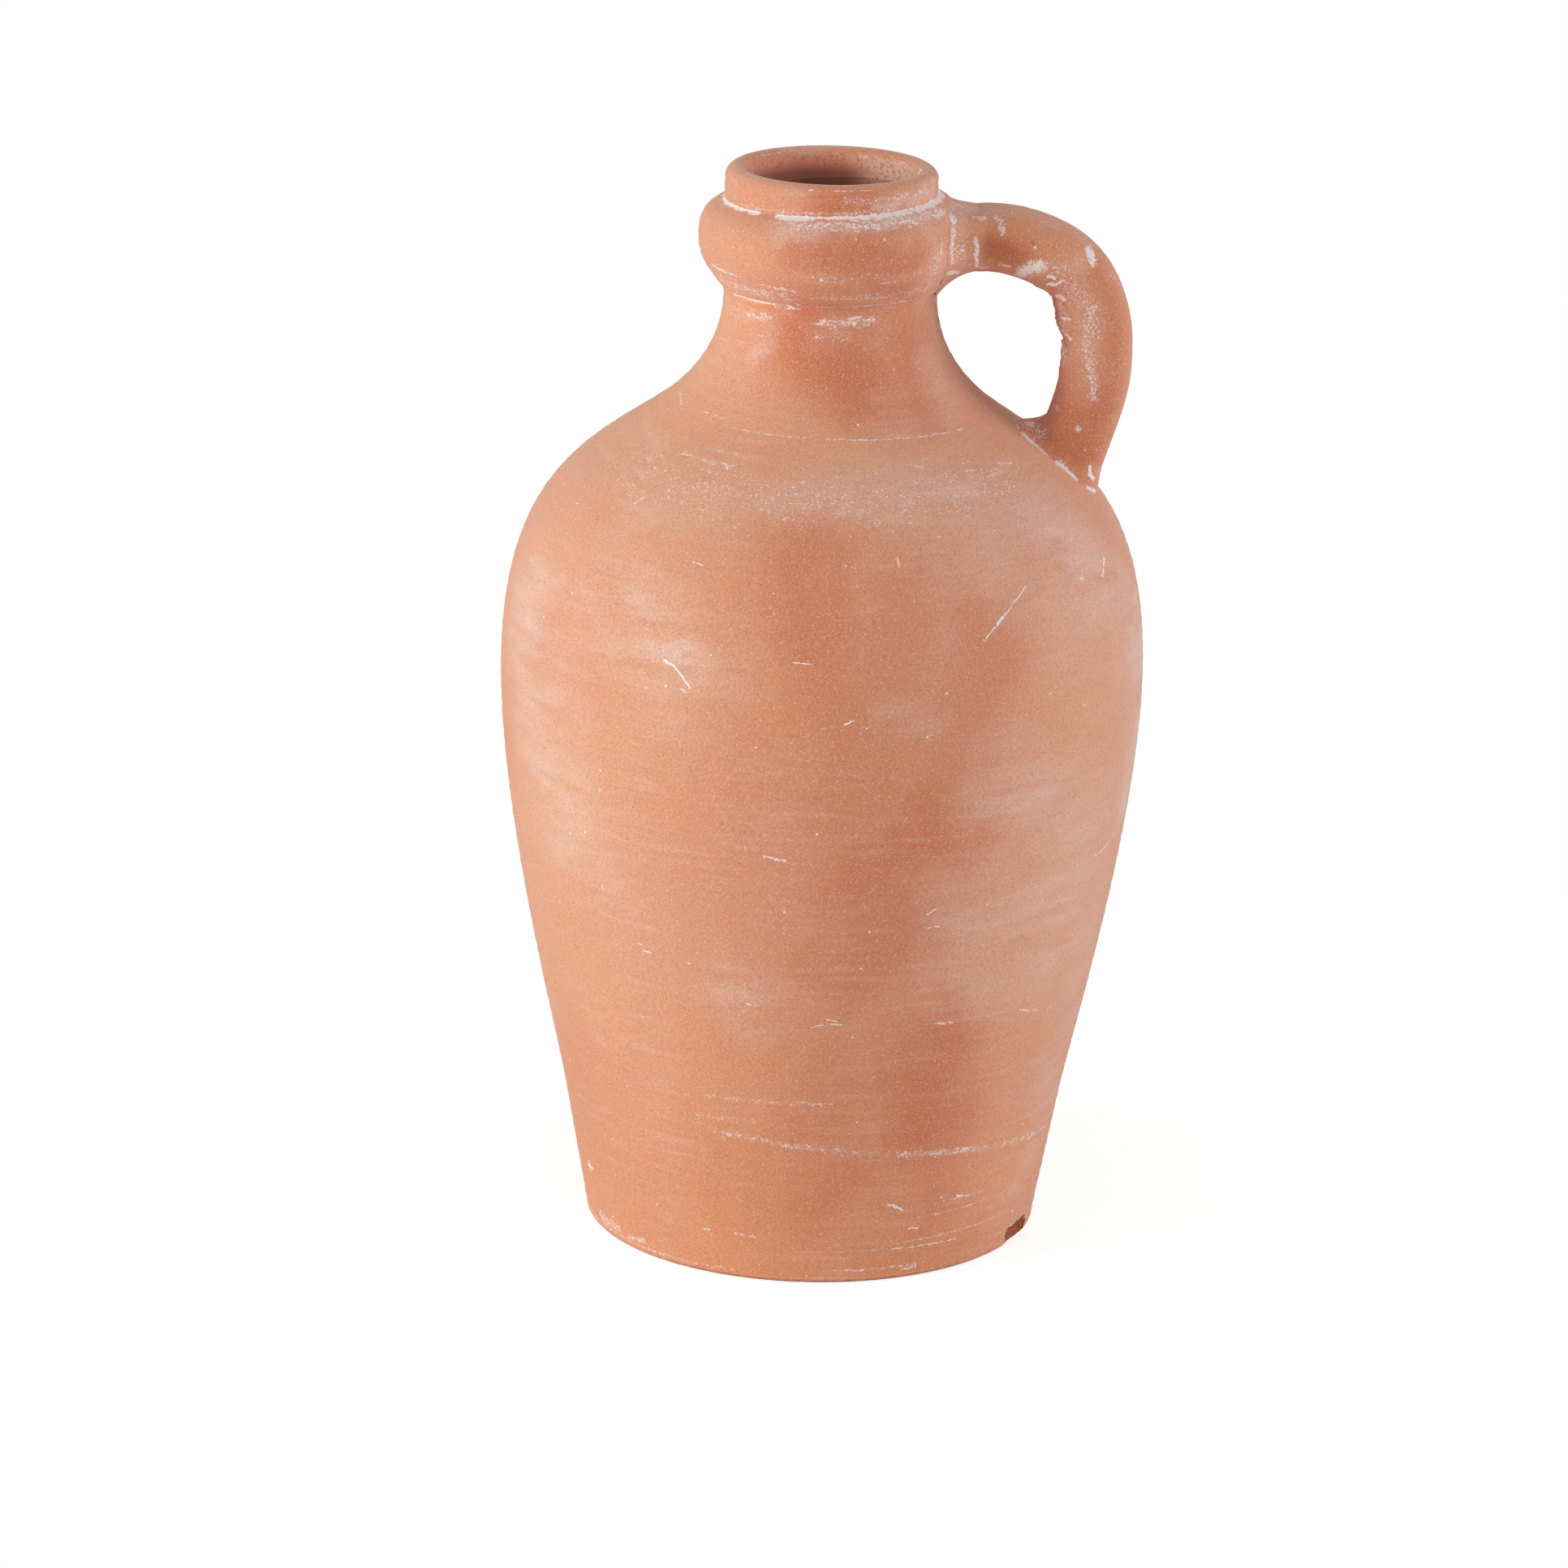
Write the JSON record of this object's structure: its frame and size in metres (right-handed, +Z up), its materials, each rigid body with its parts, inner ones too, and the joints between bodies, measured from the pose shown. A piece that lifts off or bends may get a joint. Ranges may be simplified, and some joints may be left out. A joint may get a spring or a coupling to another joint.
{
  "type": "terracotta jug",
  "caption": "Unglazed terracotta jug with a full belly, waisted neck, swollen collar, plain rounded lip and a pulled strap handle from collar to shoulder.",
  "frame": {"origin": "centre of the foot, on the surface that the jug stands on", "axes": "+Z up along the turning axis, +X towards the handle, -Y towards the side that the picture shows"},
  "size_m": [0.2236, 0.2236, 0.3772],
  "materials": {
    "foot_clay": "unglazed fired clay, matt, with lime in the turning marks and a raw chip in the edge",
    "body_clay": "unglazed fired clay, matt, fine grain with pale lime bloom and scratches",
    "neck_clay": "unglazed fired clay, matt",
    "collar_clay": "unglazed fired clay, matt, lime along its lower crease",
    "lip_clay": "unglazed fired clay, matt, lime in the groove below it",
    "handle_clay": "unglazed fired clay, matt, with specks of lime and slip",
    "luting_clay": "unglazed fired clay, matt, lime in the joint lines"
  },
  "bodies": {
    "root": {"foot_section": "foot_clay", "body_wall": "body_clay", "neck_section": "neck_clay", "collar_ring": "collar_clay", "lip_ring": "lip_clay", "handle": "handle_clay", "handle_top_luting": "luting_clay", "handle_foot_luting": "luting_clay"}
  },
  "joints": []
}
